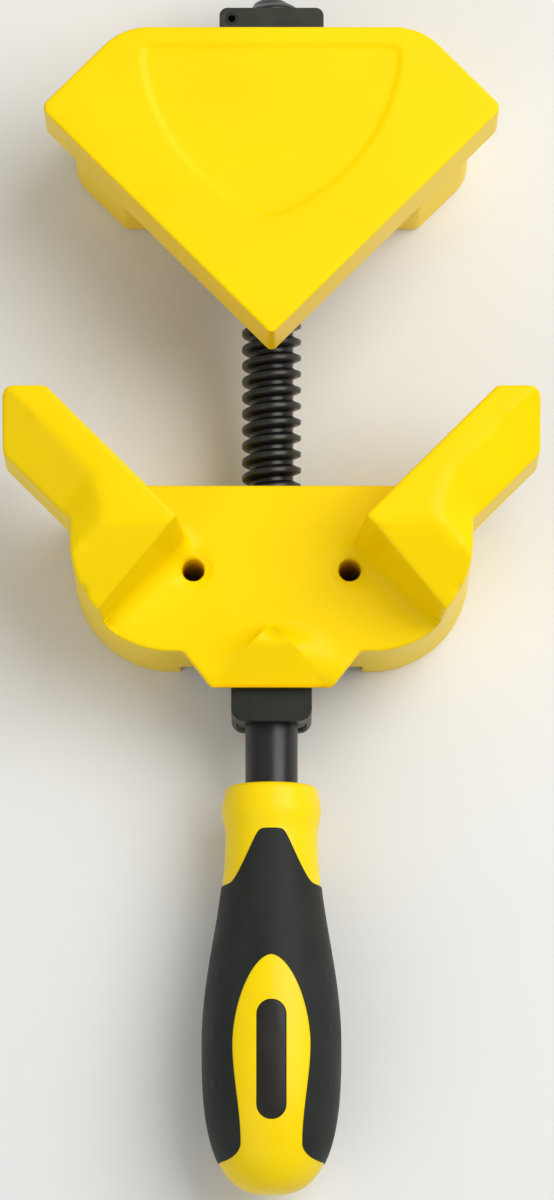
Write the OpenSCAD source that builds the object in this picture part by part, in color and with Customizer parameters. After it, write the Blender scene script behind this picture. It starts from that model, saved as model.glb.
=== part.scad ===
// Corner clamp for holding two boards at a right angle.
// A spindle turns in a thrust block at the nose of the fixed frame and draws the moving jaw
// towards the frame's two fences. Origin: midway between the two bench holes, on the bench.
// +Y runs along the spindle from the handle towards the moving jaw, +Z is up.

/* [Spindle] */
// Height of the spindle's axis above the bench
axis_h = 20; // [18:0.5:26]
// Outside diameter of the thread
thread_d = 14.5; // [12:0.5:16]
// Core diameter of the thread, which the domed end starts from
thread_core_d = 10.6; // [8:0.2:11.5]
// Diameter of the plain journal between thrust block and handle
journal_d = 12.8; // [11:0.2:13.4]
// Distance from the bench holes to the spindle's free end
spindle_reach = 145.4; // [144:0.2:165]
// Diameter of the spindle's tail inside the handle
tail_d = 11; // [8:0.5:11.5]
// Length of the tail inside the handle, after the journal
tail_l = 52; // [30:1:70]
// Depth that the journal goes into the handle
journal_seat = 8; // [4:1:14]

/* [Thrust block] */
// Width of the thrust block
block_w = 19.6; // [19:0.2:22]
// Height of the thrust block
block_h = 22; // [21:0.5:26]
// Length of the thrust block along the spindle
block_l = 19.5; // [17:0.5:22]
// Distance from the bench holes to the thrust block's front face
block_front = 36.5; // [35:0.5:42]
// Radius of the thrust block's upright corners
block_corner_r = 3; // [1:0.5:4]
// Distance from the thrust block's rear face to its swing axis
block_pivot = 5; // [4.5:0.1:5.5]
// Wall of the bronze bush in the thrust block
bush_wall = 1.1; // [0.8:0.1:1.4]
// Outside diameter of the collar that takes the clamping force
collar_d = 16.4; // [15:0.2:17]
// Thickness of that collar
collar_t = 4; // [3:0.5:5]
// Thickness of the thrust washers
washer_t = 1.4; // [1:0.1:2]
// Diameter of the pin that holds the collar on the journal
collar_pin_d = 2.4; // [1.5:0.1:2.8]

/* [Swivel pins] */
// Diameter of the upright pins that block and carrier turn on
pin_d = 6; // [5:0.5:6.5]
// Depth that each pin is pressed into its block
pin_seat = 2.8; // [2:0.1:3]
// Length of each pin that stands out of its block
pin_out = 3; // [2.4:0.1:3.4]

/* [Frame] */
// Distance between the two bench holes
hole_spacing = 38; // [34:1:46]
// Diameter of the bench holes
hole_d = 5.5; // [4:0.1:6.5]
// Diameter of the shallow dish round each bench hole
dish_d = 9; // [8:0.5:11]
// Depth of that dish
dish_depth = 0.5; // [0.2:0.1:1]
// Diameter of the boss under each bench hole
boss_d = 14; // [13.6:0.2:15]
// Width of the frame's base
base_w = 97; // [94:1:110]
// Distance from the bench holes to the base's edge on the jaw side
base_front = 20.8; // [18:0.2:24]
// Distance from the bench holes to the base's edge on the handle side
base_rear = 20; // [18:0.5:21]
// Radius of the base's two corners on the handle side
ear_r = 24; // [16:1:26]
// Radius of the base's two corners on the jaw side
base_front_r = 6; // [4.5:0.5:8]
// Wall thickness of the frame casting
frame_wall = 3.5; // [2.5:0.1:4]
// Thickness of the top plate
plate_t = 3.6; // [3:0.2:6]
// Thickness of the ribs under the top plate
rib_t = 3; // [2:0.2:4]

/* [Fences] */
// Distance from the bench holes to the corner where the two fence faces would meet
corner_back = 13.5; // [12:0.5:15]
// Height of the fences above the top plate
fence_h = 26; // [22:0.5:32]
// Half the width across the fence tips
tip_half_w = 64.8; // [60:0.2:70]
// Distance from the bench holes to the fence tips
tip_reach = 40.8; // [36:0.2:46]
// Thickness of each fence arm
arm_t = 18.4; // [16:0.2:20]
// Width of the level strip on top of each arm
arm_top_w = 6.7; // [4:0.1:9]
// Drop of the sloped top from that strip to the arm's outer wall
arm_drop = 7; // [4:0.5:10]
// Distance from the corner to the end of each fence, along its face
fence_clear = 32; // [28:0.5:36]
// Draft of the fence's end face, in degrees
end_draft = 8; // [4:1:12]
// Slope of the buttress's top towards the handle, in degrees
buttress_slope = 28; // [20:1:32]
// Length of the buttress's level top past the fence's end
buttress_level = 1.5; // [0.5:0.1:3]
// Slope of the buttress's side towards the base's edge, in degrees
side_slope = 35; // [28:1:40]
// Turn of that sloped side from the line of the fence, in degrees
side_turn = 35; // [28:1:42]
// Distance from the corner to where that side leaves the arm's ridge, along the fence
side_start = 48.8; // [46:0.2:52]
// Ease of the valley between that side and the arm's sloped top
valley_ease = 2.5; // [1:0.1:4]
// Radius of the fence tips' upright corners
tip_r = 2.5; // [1:0.5:4]

/* [Nose] */
// Distance from the bench holes to the front edge of the nose
nose_front = 28.7; // [27:0.2:32]
// Width of the nose at its front edge
nose_front_w = 29.4; // [26:0.2:33]
// Width of the nose at its root
nose_root_w = 43.2; // [38:0.2:48]
// Height of the raised peak on the nose
peak_h = 5; // [3:0.5:8]
// Length of the level top behind the peak's sloped face
peak_level = 4.7; // [3:0.1:7]
// Distance that the sloped face stops short of the nose's front edge
lip = 0.9; // [0.6:0.1:2]
// Depth of the sloped face's foot below the top plate
lip_sink = 0.5; // [0.2:0.1:1]
// Radius of the nose's corners
nose_r = 1.6; // [1:0.1:2.4]
// Length of the cheeks that the keeper plate is screwed to
cheek_l = 9; // [8.4:0.2:10]

/* [Moving jaw] */
// Distance from the bench holes to the jaw's point, fully open
jaw_point = 53.3; // [50:0.1:58]
// Half the width of the jaw's head
jaw_half_w = 56; // [52:0.5:62]
// Distance from the jaw's point to its back edge
jaw_l = 75.9; // [72:0.1:82]
// Height of the jaw's head
head_h = 23.5; // [20:0.5:28]
// Gap between the top plate and the head, which slides over it
head_gap = 1.5; // [1:0.1:3]
// Radius of the head's back corners
back_r = 15; // [8:1:20]
// Radius of the head's side corners
side_r = 2; // [1:0.5:4]
// Width of the flat on the jaw's point
point_w = 1.4; // [0.8:0.1:2.4]
// Wall thickness of the jaw casting
jaw_wall = 4; // [3:0.2:5]
// Depth of the sunk panel on the head
panel_depth = 0.7; // [0.4:0.1:1.6]
// Distance from the back edge to the panel
panel_edge = 4.2; // [3:0.2:8]
// Half the width of the panel at its wide end
panel_half_w = 31; // [24:0.5:34]
// Length of the panel
panel_l = 43; // [34:0.5:48]
// Radius of the panel's bowed sides
panel_side_r = 100; // [70:5:160]
// Distance from the jaw's point to the front wall of the pedestal
pedestal_front = 37.9; // [34:0.1:42]
// Width of the pedestal across its front wall
pedestal_front_w = 72.4; // [64:0.2:73]
// Width of the pedestal
pedestal_w = 97; // [90:1:100]
// Radius of the corners at the pedestal's front wall
pedestal_front_r = 2; // [1:0.5:4]
// Radius of the pedestal's side corners
pedestal_r = 8; // [6:1:12]
// Distance that the pedestal's back is set in under the head
pedestal_inset = 1.2; // [0.6:0.2:2.4]
// Clearance of the pedestal's foot above the bench
foot_gap = 0.3; // [0.2:0.1:0.6]

/* [Nut carrier] */
// Width of the nut carrier
carrier_w = 25.6; // [24:0.2:28]
// Height of the nut carrier
carrier_h = 24; // [23:0.5:24.5]
// Distance from the jaw's point to the carrier's front face
carrier_front = 55.7; // [52:0.1:57]
// Length of the nut carrier
carrier_l = 31.4; // [28:0.2:34]
// Radius of the carrier's upright corners
carrier_r = 2; // [1:0.2:3]
// Distance from the carrier's front face to the jaw's swivel axis
swivel_back = 8; // [6:0.2:10]
// Outside diameter of the spindle nut
nut_d = 19.4; // [18:0.2:20]
// Outside diameter of the nut's flange
flange_d = 21.4; // [21:0.1:22]
// Thickness of the nut's flange
flange_t = 4.6; // [4:0.2:6]
// Length of the nut without its flange
nut_l = 13; // [10:0.5:14]
// Diameter of the hollow pin that locks the nut
lock_pin_d = 3.4; // [3:0.1:4]
// Bore of that hollow pin
lock_pin_bore = 1.8; // [1.2:0.1:2.2]
// Distance of the lock pin from the spindle's axis
lock_pin_out = 9.8; // [9:0.1:10]

/* [Keepers] */
// Thickness of the plates that hold the lower swivel pins
keeper_t = 4; // [3:0.5:4.4]
// Diameter of the keeper screws
screw_d = 3.4; // [3:0.1:4]
// Diameter of the keeper screws' heads
screw_head_d = 6.4; // [6:0.1:7.4]
// Height of the screws' countersunk heads
screw_head_h = 1.8; // [1.4:0.1:2.2]
// Length of the keeper screws
screw_l = 14; // [10:0.5:18]
// Sideways distance of the thrust block's keeper screws from the axis
block_screw_x = 16; // [15.5:0.1:17]
// Sideways distance of the jaw's keeper screws from the axis
jaw_screw_x = 20; // [19:0.2:24]
// Distance between the jaw's keeper screws along the spindle
jaw_screw_spacing = 12; // [10:0.5:13]
// Distance from the jaw's swivel axis forward to the middle of its keeper plate
jaw_keeper_ahead = 5; // [4.6:0.1:6]
// Radius of the keeper plates' corners
keeper_r = 2; // [1:0.5:3]
// Wall of the bosses that the jaw's keeper screws go into
screw_boss_wall = 2.8; // [2:0.1:3]
// Wall of the boss that the jaw swivels on
swivel_boss_wall = 5; // [4:0.5:6]

/* [Handle] */
// Distance from the bench holes to the handle's front end
handle_front = 51.2; // [46:0.2:60]
// Length of the handle
handle_l = 99.5; // [90:0.5:120]
// Diameter of the bead at the handle's front
bead_d = 24.1; // [23:0.1:26]
// Length of that bead
bead_l = 12; // [9:0.5:15]
// Diameter of the handle's waist
waist_d = 22.4; // [21:0.1:23]
// Diameter of the handle's belly
belly_d = 33.5; // [30:0.5:36]
// Distance from the handle's front to its widest place
belly_at = 63; // [55:0.5:70]
// Fullness of the rounded butt, as the power of its curve
butt_power = 2.4; // [2:0.1:3]
// Thickness of the soft grip
grip_t = 1.6; // [1.2:0.1:2.4]
// Distance from the handle's front to the tip of the grip's tongue
tongue_at = 10.8; // [10:0.2:16]
// Half the width of the grip's tongue at its root
tongue_half_w = 7.2; // [5:0.2:8.5]
// Distance from the handle's front to the grip's edge beside the tongue
grip_at = 24.3; // [22:0.1:28]
// Radius of the inward corners beside the tongue
tongue_r = 2.5; // [1.5:0.1:3.5]
// Distance from the handle's front to the end of the grip's side lobes
grip_end = 91.3; // [87:0.1:94]
// Distance from the handle's front to the top of the hard window in the grip
window_at = 41.4; // [34:0.2:46]
// Half the width of that window at its widest
window_half_w = 9.6; // [7.5:0.1:11]
// Half the width of that window where it opens into the butt
window_neck = 7.6; // [6:0.1:8]
// Length of the flare at that neck, to each side of the grip's end
window_flare = 6; // [5:0.2:7]
// Width of the plain inlay in the window
inlay_w = 7.3; // [5:0.1:9]
// Length of the inlay
inlay_l = 29; // [20:0.5:34]
// Distance from the handle's front to the inlay
inlay_at = 52.5; // [50:0.5:56]
// Thickness of the inlay
inlay_t = 0.8; // [0.5:0.1:1.2]

/* [Fits] */
// Radial clearance of a journal, pin or nut in its bore
running = 0.05; // [0.02:0.01:0.09]
// Radial clearance of a pressed or moulded-in piece
pressed = 0.01; // [0:0.005:0.02]
// Gap between the faces of pieces that swing past each other
swing_gap = 0.4; // [0.3:0.05:0.6]
// Sideways room for the block and spindle to swing
side_room = 0.6; // [0.5:0.05:1]
// Sideways room for the nut carrier in the jaw
carrier_room = 1.4; // [1.2:0.1:2]
// Room round the spindle in the frame and jaw castings
spindle_room = 2; // [1.8:0.1:3]

/* [Hidden] */
$fn = 96;

cast_yellow = [0.96, 0.80, 0.02];
moulded_yellow = [0.93, 0.77, 0.02];
black_steel = [0.20, 0.21, 0.20];
dark_zinc = [0.26, 0.27, 0.26];
bright_steel = [0.66, 0.67, 0.68];
bronze = [0.70, 0.52, 0.28];
soft_black = [0.13, 0.14, 0.14];
far = 400;
eps = 0.01;

// Thrust block and nose
block_top = axis_h + block_h / 2;
block_foot = axis_h - block_h / 2;
roof_z = block_top + swing_gap;
base_h = roof_z + plate_t;
block_rear = block_front - block_l;
swing_y = -(block_rear + block_pivot);
collar_seat = collar_t + washer_t + swing_gap;
bush_d = journal_d + 2 * running + 2 * bush_wall;
block_keeper_top = block_foot - swing_gap;
shoulder_y = -block_rear + washer_t;
tunnel_half_w = thread_d / 2 + spindle_room;
pocket_half_w = block_w / 2 + side_room;
peak_top = base_h + peak_h;
facet_back = corner_back + peak_level;
facet_foot = nose_front - lip;
facet_slope = atan((peak_h + lip_sink) / (facet_foot - facet_back));
cheek_half_w = nose_root_w / 2;
cheek_end = -base_rear + cheek_l;
block_screw_y = -base_rear + cheek_l / 2;

// Fences
fence_top = base_h + fence_h;
arm_slope = atan(arm_drop / (arm_t - arm_top_w));
outer_shift = corner_back + arm_t * sqrt(2);
tip_u = min((tip_reach + corner_back - frame_wall) * sqrt(2) + frame_wall,
            (tip_half_w - frame_wall) * sqrt(2) - arm_t + frame_wall);
arm_cavity_top = fence_top - arm_drop - frame_wall;
buttress_cavity_top = base_h + fence_h / 2 - frame_wall;

// Moving jaw, carrier and keepers
head_z = base_h + head_gap;
jaw_top = head_z + head_h;
jaw_back = jaw_point + jaw_l;
carrier_y = jaw_point + carrier_front;
carrier_end = carrier_y + carrier_l;
swivel_y = carrier_y + swivel_back;
carrier_top = axis_h + carrier_h / 2;
carrier_foot = axis_h - carrier_h / 2;
jaw_keeper_top = carrier_foot - swing_gap;
lock_pin_y = carrier_end - flange_t / 2 - swing_gap;
carrier_way = carrier_w + 2 * carrier_room;
screw_boss_d = screw_d + 2 * screw_boss_wall;
jaw_keeper_y = swivel_y - jaw_keeper_ahead;
jaw_screws = [for (x = [-1, 1], y = [-1, 1])
    [x * jaw_screw_x, jaw_keeper_y + y * jaw_screw_spacing / 2]];
collar_y = -block_front + collar_seat - washer_t;

function unit(v) = v / norm(v);
function flipped(points) = [for (i = [len(points) - 1 : -1 : 0]) [-points[i].x, points[i].y]];
function backwards(list) = [for (i = [len(list) - 1 : -1 : 0]) list[i]];
function both_sides(points) = concat(points, flipped(points));
function both_radii(radii) = concat(radii, backwards(radii));

// A polygon, listed anticlockwise, whose corners are true arcs: a chord cuts each corner, and the
// cap of a circle on the corner's bisector fills it, or hollows it out at an inward corner.
module rounded_outline(points, radii) {
    n = len(points);
    back = [for (i = [0 : n - 1]) unit(points[(i + n - 1) % n] - points[i])];
    ahead = [for (i = [0 : n - 1]) unit(points[(i + 1) % n] - points[i])];
    half = [for (i = [0 : n - 1]) acos(back[i] * ahead[i]) / 2];
    cut = [for (i = [0 : n - 1]) radii[i] / tan(half[i])];
    outward = [for (i = [0 : n - 1]) cross(ahead[i], back[i]) > 0];
    chords = [for (i = [0 : n - 1])
        each radii[i] > 0 ? [points[i] + back[i] * cut[i], points[i] + ahead[i] * cut[i]] : [points[i]]];
    module cap(i) {
        centre = points[i] + unit(back[i] + ahead[i]) * radii[i] / sin(half[i]);
        intersection() {
            polygon([points[i], points[i] + ahead[i] * cut[i], points[i] + back[i] * cut[i]]);
            translate(centre) circle(radii[i]);
        }
    }
    difference() {
        union() {
            polygon(chords);
            for (i = [0 : n - 1]) if (radii[i] > 0 && outward[i]) cap(i);
        }
        for (i = [0 : n - 1]) if (radii[i] > 0 && !outward[i]) cap(i);
    }
}

// A slab of space above a plane through a point, falling towards a plan direction.
module above_slope(point, direction, slope) {
    translate(point) rotate([0, 0, direction]) rotate([0, slope, 0])
        translate([-far / 2, -far / 2, 0]) cube([far, far, far / 2]);
}

// A solid of revolution round the spindle's axis, from a profile of [radius, distance along +Y].
module turned() {
    translate([0, 0, axis_h]) rotate([-90, 0, 0]) rotate_extrude() children();
}

// A round bar along the spindle's axis, between two places.
module axis_bar(d, from, to) {
    translate([0, from, axis_h]) rotate([-90, 0, 0]) cylinder(d = d, h = to - from);
}

// An arched tunnel along +Y, open at the bottom.
module tunnel(half_w, from, to) {
    axis_bar(2 * half_w, from, to);
    translate([-half_w, from, -far / 2]) cube([2 * half_w, to - from, far / 2 + axis_h]);
}

// A flat-headed screw standing on its head, with the head's face at z = 0.
module keeper_screw() {
    cylinder(d1 = screw_head_d, d2 = screw_d, h = screw_head_h);
    cylinder(d = screw_d, h = screw_l);
}

// The hole that a keeper screw needs, through its plate and into the casting.
module keeper_screw_hole() {
    cylinder(d1 = screw_head_d + 2 * running, d2 = screw_d + 2 * running, h = screw_head_h);
    translate([0, 0, -1]) cylinder(d = screw_d + 2 * running, h = screw_l + 1 + swing_gap);
}

// The base's outline in plan, set in by a wall.
module base_outline(inset) {
    half_w = base_w / 2 - inset;
    rounded_outline(
        both_sides([[half_w, -base_rear + inset], [half_w, base_front - inset]]),
        both_radii([ear_r - inset, base_front_r - inset]));
}

// Places its children in a fence's own frame: x along the face from the corner, -y into the fence.
module along_fence() {
    translate([0, -corner_back, 0]) rotate([0, 0, 45]) children();
}

// The space above the slope that eases the valley between an arm and its buttress.
module above_valley() {
    turn = -(side_turn + 90) / 2;
    ease = valley_ease * [cos(turn), sin(turn)];
    along_fence() above_slope([side_start + ease.x, -arm_top_w + ease.y, fence_top], turn, side_slope);
}

// One fence arm: a thick bar with a level strip and a sloped top, cut square at its tip.
// It is hollow from below.
module fence_arm() {
    root_x = base_w / 2 - frame_wall;
    root_u = fence_clear + frame_wall;
    inner_root = [root_u / sqrt(2), root_u / sqrt(2) - corner_back];
    difference() {
        translate([0, 0, roof_z]) linear_extrude(fence_top - roof_z)
            rounded_outline(
                [[root_x, root_x - outer_shift],
                 [tip_half_w, tip_half_w - outer_shift],
                 [tip_half_w, tip_reach],
                 [tip_reach + corner_back, tip_reach],
                 inner_root],
                [0, tip_r, tip_r, tip_r / 2, 0]);
        intersection() {
            along_fence() above_slope([0, -arm_top_w, fence_top], -90, arm_slope);
            above_valley();
        }
        along_fence() translate([root_u, -arm_t + frame_wall, 0])
            cube([tip_u - root_u, arm_t - 2 * frame_wall, arm_cavity_top]);
    }
}

// The buttress that carries a fence on the base: its top falls towards the handle, its side
// falls towards the base's edge, and its end face is drafted.
module fence_buttress() {
    level_y = fence_clear / sqrt(2) - corner_back - buttress_level;
    difference() {
        intersection() {
            translate([0, 0, roof_z]) linear_extrude(fence_top - roof_z) base_outline(0);
            along_fence() translate([0, -far, 0]) cube([far, far, fence_top]);
        }
        along_fence() translate([fence_clear, 0, fence_top]) rotate([0, end_draft, 0])
            translate([-far, -far / 2, -far / 2]) cube([far, far, far]);
        above_slope([0, level_y, fence_top], -90, buttress_slope);
        intersection() {
            along_fence() above_slope([side_start, -arm_top_w, fence_top], -side_turn, side_slope);
            above_valley();
        }
    }
}

// The hollow inside a buttress, open downwards.
module buttress_hollow() {
    translate([0, 0, -1]) linear_extrude(buttress_cavity_top + 1) intersection() {
        base_outline(frame_wall);
        translate([0, -corner_back]) rotate(45)
            translate([fence_clear + frame_wall, -far - frame_wall]) square([far, far]);
    }
}

// The nose: a flat hood over the thrust block with a raised peak and a sloped face.
module nose_hood() {
    peak_half_w = facet_foot - corner_back;
    translate([0, 0, roof_z]) linear_extrude(plate_t)
        rounded_outline(
            both_sides([[nose_front_w / 2, -nose_front], [nose_root_w / 2, -base_rear],
                        [nose_root_w / 2, -corner_back]]),
            both_radii([nose_r, nose_r, 0]));
    difference() {
        translate([0, 0, roof_z]) linear_extrude(peak_top - roof_z)
            polygon([[0, -corner_back], [-peak_half_w, -facet_foot], [peak_half_w, -facet_foot]]);
        above_slope([0, -facet_back, peak_top], -90, facet_slope);
    }
}

// Ribs beside the spindle's tunnel, bosses at the bench holes and cheeks for the keeper screws.
module frame_inner_walls() {
    wall_x = (base_w - frame_wall) / 2;
    for (side = [0, 1]) mirror([side, 0, 0]) {
        translate([tunnel_half_w, -base_rear + eps, 0])
            cube([rib_t, base_rear + base_front - 2 * eps, base_h - eps]);
        translate([hole_spacing / 2, 0, 0]) cylinder(d = boss_d, h = base_h - eps);
        translate([hole_spacing / 2, -rib_t / 2, base_h / 2])
            cube([wall_x - hole_spacing / 2, rib_t, base_h / 2 - eps]);
        translate([pocket_half_w, -base_rear + eps, block_keeper_top])
            cube([cheek_half_w - pocket_half_w, cheek_l, roof_z + eps - block_keeper_top]);
    }
}

module frame_casting() {
    keeper_way = cheek_half_w + side_room;
    color(cast_yellow) difference() {
        union() {
            difference() {
                union() {
                    linear_extrude(base_h) base_outline(0);
                    for (side = [0, 1]) mirror([side, 0, 0]) {
                        fence_arm();
                        fence_buttress();
                    }
                }
                translate([0, 0, -1]) linear_extrude(roof_z + 1) base_outline(frame_wall);
                for (side = [0, 1]) mirror([side, 0, 0]) buttress_hollow();
            }
            nose_hood();
            frame_inner_walls();
        }
        tunnel(tunnel_half_w, -far / 2, far / 2);
        translate([-pocket_half_w, -far / 2, -1])
            cube([2 * pocket_half_w, far / 2 - block_rear + washer_t + side_room, roof_z + 1]);
        translate([-keeper_way, -far / 2, -1])
            cube([2 * keeper_way, far / 2 + cheek_end + side_room, block_keeper_top + 1]);
        translate([0, swing_y, block_top])
            cylinder(d = pin_d + 2 * running, h = pin_out + side_room);
        for (side = [-1, 1]) {
            translate([side * hole_spacing / 2, 0, -1]) cylinder(d = hole_d, h = base_h + 2);
            translate([side * hole_spacing / 2, 0, base_h - dish_depth]) cylinder(d = dish_d, h = far);
            translate([side * block_screw_x, block_screw_y, block_keeper_top - keeper_t]) keeper_screw_hole();
        }
    }
}

module block_keeper_plate() {
    half_w = cheek_half_w - side_room;
    color(bright_steel) difference() {
        translate([0, 0, block_keeper_top - keeper_t]) linear_extrude(keeper_t)
            rounded_outline(
                both_sides([[nose_front_w / 3, -facet_foot], [half_w, -base_rear], [half_w, cheek_end]]),
                both_radii([keeper_r, keeper_r, keeper_r]));
        translate([0, swing_y, 0]) cylinder(d = pin_d + 2 * running, h = far, center = true);
        for (side = [-1, 1])
            translate([side * block_screw_x, block_screw_y, block_keeper_top - keeper_t]) keeper_screw_hole();
    }
}

module block_keeper_screws() {
    color(bright_steel) for (side = [-1, 1])
        translate([side * block_screw_x, block_screw_y, block_keeper_top - keeper_t]) keeper_screw();
}

// The thrust block: bored for its bush, with a deeper bore in front for collar and washer.
module thrust_block() {
    color(black_steel) difference() {
        translate([0, 0, block_foot]) linear_extrude(block_h)
            rounded_outline(
                both_sides([[block_w / 2, -block_front], [block_w / 2, -block_rear]]),
                both_radii([block_corner_r, block_corner_r / 2]));
        axis_bar(bush_d + 2 * pressed, -block_front - 1, -block_rear + 1);
        axis_bar(collar_d + 2 * swing_gap, -block_front - 1, -block_front + collar_seat);
        translate([0, swing_y, block_top - pin_seat]) cylinder(d = pin_d + 2 * pressed, h = far);
        translate([0, swing_y, block_foot + pin_seat - far]) cylinder(d = pin_d + 2 * pressed, h = far);
    }
}

// Two upright pins, one above and one below a block.
module swivel_pins(y, top, foot) {
    translate([0, y, top - pin_seat]) cylinder(d = pin_d, h = pin_seat + pin_out);
    translate([0, y, foot - pin_out]) cylinder(d = pin_d, h = pin_seat + pin_out);
}

module block_swivel_pins() {
    color(bright_steel) swivel_pins(swing_y, block_top, block_foot);
}

// A ring round the spindle's axis.
module axis_ring(d, bore, from, to) {
    difference() {
        axis_bar(d, from, to);
        axis_bar(bore, from - 1, to + 1);
    }
}

module journal_bush() {
    color(bronze)
        axis_ring(bush_d, journal_d + 2 * running, -block_front + collar_seat, -block_rear);
}

module front_thrust_washer() {
    color(bright_steel)
        axis_ring(collar_d, journal_d + 2 * running, collar_y, collar_y + washer_t);
}

module rear_thrust_washer() {
    color(bright_steel)
        axis_ring(block_w - 2 * swing_gap, journal_d + 2 * running, -block_rear, shoulder_y);
}

// The spindle's outline from its domed end to its tail, without the thread's grooves.
module spindle() {
    dome = (thread_d - thread_core_d) / 2;
    tail_end = -handle_front - journal_seat - tail_l;
    color(black_steel) difference() {
        turned() polygon([
            [0, tail_end],
            [tail_d / 2 - 1, tail_end],
            [tail_d / 2, tail_end + 1],
            [tail_d / 2, -handle_front - journal_seat],
            [journal_d / 2, -handle_front - journal_seat],
            [journal_d / 2, shoulder_y],
            [thread_d / 2, shoulder_y],
            [thread_d / 2, spindle_reach - 2 * dome],
            [thread_core_d / 2, spindle_reach - dome / 2],
            [thread_core_d / 3, spindle_reach],
            [0, spindle_reach]]);
        translate([0, collar_y - collar_t / 2, axis_h])
            rotate([0, 90, 0]) cylinder(d = collar_pin_d + 2 * pressed, h = far, center = true);
    }
}

module thrust_collar() {
    color(bright_steel) difference() {
        axis_ring(collar_d, journal_d + 2 * pressed, collar_y - collar_t, collar_y);
        translate([0, collar_y - collar_t / 2, axis_h])
            rotate([0, 90, 0]) cylinder(d = collar_pin_d + 2 * pressed, h = far, center = true);
    }
}

module collar_pin() {
    color(bright_steel) translate([0, collar_y - collar_t / 2, axis_h])
        rotate([0, 90, 0]) cylinder(d = collar_pin_d, h = collar_d - 1, center = true);
}

// The handle's radius at a distance from its front: a bead, a waist that swells to the belly, and
// a butt rounded as a superellipse.
function bead_r(s) = (bead_d - waist_d) / 4 * (1 - cos(360 * s / bead_l));
function swell(s) = (1 - cos(180 * (s - bead_l) / (belly_at - bead_l))) / 2;
function butt(s) = pow(1 - pow((s - belly_at) / (handle_l - belly_at), butt_power), 1 / butt_power);
function handle_r(s) =
    s < bead_l ? waist_d / 2 + bead_r(s) :
    s < belly_at ? waist_d / 2 + (belly_d - waist_d) / 2 * swell(s) :
    belly_d / 2 * butt(s);

// Distances along the handle at which its profile is drawn, closer together at the butt.
bead_steps = 6;
swell_steps = 9;
butt_steps = 10;
handle_steps = concat(
    [for (i = [0 : bead_steps]) bead_l * i / bead_steps],
    [for (i = [1 : swell_steps]) bead_l + (belly_at - bead_l) * i / swell_steps],
    [for (i = [1 : butt_steps]) belly_at + (handle_l - belly_at) * sin(90 * i / (butt_steps + 0.5))]);

// The handle's solid, thinned all over by a skin.
module handle_form(skin) {
    last = handle_steps[len(handle_steps) - 1];
    turned() polygon(concat(
        [[0, -handle_front - skin]],
        [for (s = handle_steps) [max(handle_r(s) - skin, eps), -handle_front - max(s, skin)]],
        [[0, -handle_front - last]]));
}

// The grip's shape seen from the front: a tongue at the top, and side lobes round a long window.
module grip_outline() {
    wide = belly_d;
    window_r = (grip_end - window_at) / 2;
    difference() {
        rounded_outline(
            both_sides([[wide, -handle_front - grip_end], [wide, -handle_front - grip_at],
                        [tongue_half_w, -handle_front - grip_at],
                        [tongue_half_w / 2, -handle_front - tongue_at]]),
            both_radii([0, 0, tongue_r, tongue_half_w / 3]));
        rounded_outline(
            both_sides([[window_neck + window_flare, -handle_front - grip_end - window_flare],
                        [window_neck, -handle_front - grip_end + window_flare],
                        [window_half_w, -handle_front - (window_at + grip_end) / 2],
                        [window_half_w / 2, -handle_front - window_at]]),
            both_radii([0, window_flare, window_r, window_half_w / 2.2]));
    }
}

module grip_prism() {
    linear_extrude(far, center = true) grip_outline();
}

module inlay_prism() {
    end = inlay_w / 2;
    translate([0, 0, axis_h]) linear_extrude(far) {
        translate([-end, -handle_front - inlay_at - inlay_l + end]) square([inlay_w, inlay_l - inlay_w]);
        for (y = [inlay_at + end, inlay_at + inlay_l - end]) translate([0, -handle_front - y]) circle(end);
    }
}

module handle_core() {
    color(moulded_yellow) difference() {
        handle_form(0);
        intersection() {
            difference() {
                handle_form(-1);
                handle_form(grip_t);
            }
            grip_prism();
        }
        intersection() {
            difference() {
                handle_form(-1);
                handle_form(inlay_t);
            }
            inlay_prism();
        }
        axis_bar(journal_d + 2 * pressed, -handle_front - journal_seat, -handle_front + 1);
        axis_bar(tail_d + 2 * pressed, -handle_front - journal_seat - tail_l, -handle_front);
    }
}

module handle_grip() {
    color(soft_black) intersection() {
        difference() {
            handle_form(0);
            handle_form(grip_t);
        }
        grip_prism();
    }
}

module handle_inlay() {
    color(soft_black) intersection() {
        difference() {
            handle_form(0);
            handle_form(inlay_t);
        }
        inlay_prism();
    }
}

// The nut carrier: bored for the spindle, with a deeper bore at the back for the flanged nut.
module nut_carrier() {
    color(dark_zinc) difference() {
        translate([0, 0, carrier_foot]) linear_extrude(carrier_h)
            rounded_outline(
                both_sides([[carrier_w / 2, carrier_y], [carrier_w / 2, carrier_end]]),
                both_radii([carrier_r, carrier_r]));
        axis_bar(thread_d + 4 * running, carrier_y - 1, carrier_end);
        axis_bar(nut_d + 2 * pressed, carrier_end - flange_t - nut_l - swing_gap, carrier_end + 1);
        axis_bar(flange_d + 2 * pressed, carrier_end - flange_t - swing_gap, carrier_end + 1);
        translate([-lock_pin_out, lock_pin_y, 0])
            cylinder(d = lock_pin_d + 2 * pressed, h = far, center = true);
        translate([0, swivel_y, carrier_top - pin_seat]) cylinder(d = pin_d + 2 * pressed, h = far);
        translate([0, swivel_y, carrier_foot + pin_seat - far]) cylinder(d = pin_d + 2 * pressed, h = far);
    }
}

module carrier_swivel_pins() {
    color(bright_steel) swivel_pins(swivel_y, carrier_top, carrier_foot);
}

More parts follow.
